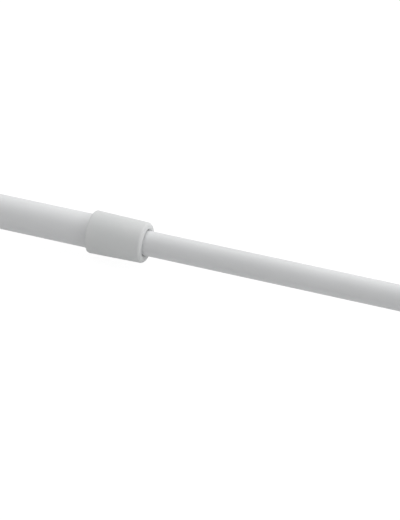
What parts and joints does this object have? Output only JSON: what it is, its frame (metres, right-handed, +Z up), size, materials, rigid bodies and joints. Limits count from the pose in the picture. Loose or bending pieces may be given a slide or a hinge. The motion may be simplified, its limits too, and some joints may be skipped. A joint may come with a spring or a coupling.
{
  "type": "net curtain rod",
  "caption": "Telescopic white net curtain rod: a narrow tube slides in a wide tube through a tapered collar, with a hidden spring and twist lock and soft tips that press on facing walls.",
  "frame": {"origin": "middle of the fixed tip's end face, which presses on the wall at the wide tube's end", "axes": "+X along the rod from the wide tube to the narrow tube, +Z up as the rod hangs level"},
  "size_m": [0.4, 0.0168, 0.0168],
  "materials": {
    "tube_paint": "satin white paint",
    "collar_plastic": "matt white moulded plastic",
    "tip_rubber": "matt off-white soft rubber",
    "inner_plastic": "natural moulded plastic",
    "steel": "zinc-plated steel"
  },
  "bodies": {
    "outer": {"outer_tube": "tube_paint", "collar": "collar_plastic", "outer_plug": "inner_plastic", "outer_tip": "tip_rubber"},
    "sleeve": {"lock_sleeve": "inner_plastic"},
    "nut": {"cone_nut": "inner_plastic"},
    "spindle": {"spindle": "steel", "spindle_clip": "steel", "spring": "steel"},
    "inner": {"inner_tube": "tube_paint", "inner_plug": "inner_plastic", "inner_tip": "tip_rubber", "guide_bush": "inner_plastic"}
  },
  "joints": [
    {"name": "length_slide", "type": "slide", "parent": "outer", "child": "sleeve", "axis": [1, 0, 0], "range_m": [-0.085, 0.1]},
    {"name": "twist_lock", "type": "hinge", "parent": "sleeve", "child": "spindle", "pos_m": [0.12, 0, 0], "axis": [1, 0, 0], "range_deg": [0, 360]},
    {"name": "nut_draw", "type": "slide", "parent": "sleeve", "child": "nut", "axis": [1, 0, 0], "range_m": [0, 0.002]},
    {"name": "spring_take_up", "type": "slide", "parent": "spindle", "child": "inner", "axis": [1, 0, 0], "range_m": [-0.015, 0], "stiffness_N_per_m": 1200, "springref_m": 0.005, "deforming": ["spring"]}
  ],
  "couplings": [
    {"joint": "nut_draw", "follows": "twist_lock", "m_per_rad": 0.000318}
  ]
}
